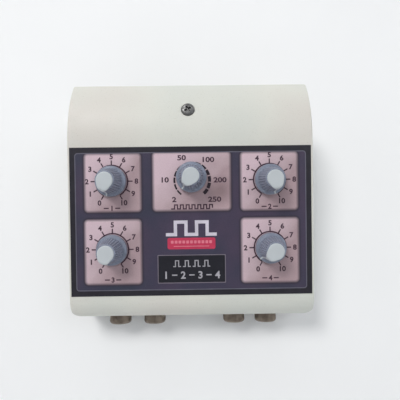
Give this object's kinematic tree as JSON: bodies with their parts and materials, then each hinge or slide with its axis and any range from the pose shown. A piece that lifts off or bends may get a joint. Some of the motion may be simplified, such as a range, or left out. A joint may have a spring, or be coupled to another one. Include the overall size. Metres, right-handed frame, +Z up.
{
  "type": "tens unit",
  "caption": "Desktop nerve stimulator console with a sloped panel of skirted knobs, a curved hump behind it and round output sockets under the front lip.",
  "frame": {"origin": "centre of the footprint, on the surface the feet stand on", "axes": "+X to the user's right, -Y towards the user (sockets), +Z up"},
  "size_m": [0.186, 0.195, 0.0851],
  "materials": {
    "case_plastic": "cream moulded ABS, fine texture",
    "label_film": "printed polycarbonate film, satin",
    "knob_plastic": "blue-grey moulded plastic",
    "cap_plastic": "light-grey moulded plastic",
    "dark_steel": "plated screw, slightly dull",
    "zinc_steel": "zinc plated",
    "shaft_metal": "turned",
    "black_rubber": "moulded",
    "black_plastic": "moulded, fine texture",
    "jack_plastic": "moulded",
    "green_plastic": "moulded",
    "red_plastic": "moulded, glossy",
    "grey_plate": "cream-grey moulded sheet",
    "circuit_board": "glass-filled laminate with solder mask",
    "core_iron": "varnished laminations",
    "copper_winding": "taped copper winding",
    "tinned_brass": "tinned",
    "aged_nickel": "aged nickel plate",
    "black_aluminium": "anodised",
    "fuse_glass": "clear tube"
  },
  "bodies": {
    "case": {"base_screws": "zinc_steel", "base_tray": "case_plastic", "board_screws": "zinc_steel", "control_body_ch1": "zinc_steel", "control_body_ch2": "zinc_steel", "control_body_ch3": "zinc_steel", "control_body_ch4": "zinc_steel", "control_body_frequency": "zinc_steel", "control_nuts": "zinc_steel", "control_washers": "zinc_steel", "filter_capacitors": "black_plastic", "foot_screws": "zinc_steel", "fuse_holder": "black_plastic", "fuse_holder_nut": "black_plastic", "heat_sink": "black_aluminium", "inlet_pins": "tinned_brass", "inlet_screws": "zinc_steel", "jack_contacts": "tinned_brass", "jack_ferrules": "aged_nickel", "logic_chips": "black_plastic", "main_board": "circuit_board", "mains_inlet": "black_plastic", "mains_transformer_coil": "copper_winding", "mains_transformer_core": "core_iron", "output_jack_1": "jack_plastic", "output_jack_2": "jack_plastic", "output_jack_3": "jack_plastic", "output_jack_4": "jack_plastic", "output_transistors": "black_plastic", "panel_label": "label_film", "power_switch": "black_plastic", "pulse_transformer_coils": "copper_winding", "pulse_transformer_cores": "core_iron", "rear_plate": "grey_plate", "rubber_feet": "black_rubber", "terminal_blocks": "green_plastic", "top_cover": "case_plastic", "top_screw": "dark_steel", "transformer_bracket": "zinc_steel", "transformer_screws": "zinc_steel", "voltage_regulator": "black_plastic"},
    "ch1_knob": {"knob_ch1": "knob_plastic", "pointer_cap_ch1": "cap_plastic", "control_shaft_ch1": "shaft_metal"},
    "ch2_knob": {"knob_ch2": "knob_plastic", "pointer_cap_ch2": "cap_plastic", "control_shaft_ch2": "shaft_metal"},
    "ch3_knob": {"knob_ch3": "knob_plastic", "pointer_cap_ch3": "cap_plastic", "control_shaft_ch3": "shaft_metal"},
    "ch4_knob": {"knob_ch4": "knob_plastic", "pointer_cap_ch4": "cap_plastic", "control_shaft_ch4": "shaft_metal"},
    "frequency_knob": {"knob_frequency": "knob_plastic", "pointer_cap_frequency": "cap_plastic", "control_shaft_frequency": "shaft_metal"},
    "rocker": {"power_rocker": "red_plastic"},
    "fuse_carrier": {"fuse_cap": "black_plastic", "fuse_link": "fuse_glass"}
  },
  "joints": [
    {"name": "ch1_turn", "type": "hinge", "parent": "case", "child": "ch1_knob", "pos_m": [-0.0596, 0.0114, 0.06332], "axis": [0, 0.2079, -0.9781], "range_deg": [0, 300]},
    {"name": "ch2_turn", "type": "hinge", "parent": "case", "child": "ch2_knob", "pos_m": [0.0596, 0.0114, 0.06332], "axis": [0, 0.2079, -0.9781], "range_deg": [-300, 0]},
    {"name": "ch3_turn", "type": "hinge", "parent": "case", "child": "ch3_knob", "pos_m": [-0.0596, -0.03897, 0.05261], "axis": [0, 0.2079, -0.9781], "range_deg": [0, 300]},
    {"name": "ch4_turn", "type": "hinge", "parent": "case", "child": "ch4_knob", "pos_m": [0.0596, -0.03897, 0.05261], "axis": [0, 0.2079, -0.9781], "range_deg": [-20, 280]},
    {"name": "frequency_turn", "type": "hinge", "parent": "case", "child": "frequency_knob", "pos_m": [0.0006, 0.01375, 0.06382], "axis": [0, 0.2079, -0.9781], "range_deg": [0, 282]},
    {"name": "rocker_tilt", "type": "hinge", "parent": "case", "child": "rocker", "pos_m": [0.045, 0.0861, 0.03], "axis": [1, 0, 0], "range_deg": [0, 20]},
    {"name": "fuse_draw", "type": "slide", "parent": "case", "child": "fuse_carrier", "axis": [0, 1, 0], "range_m": [0, 0.038]}
  ]
}
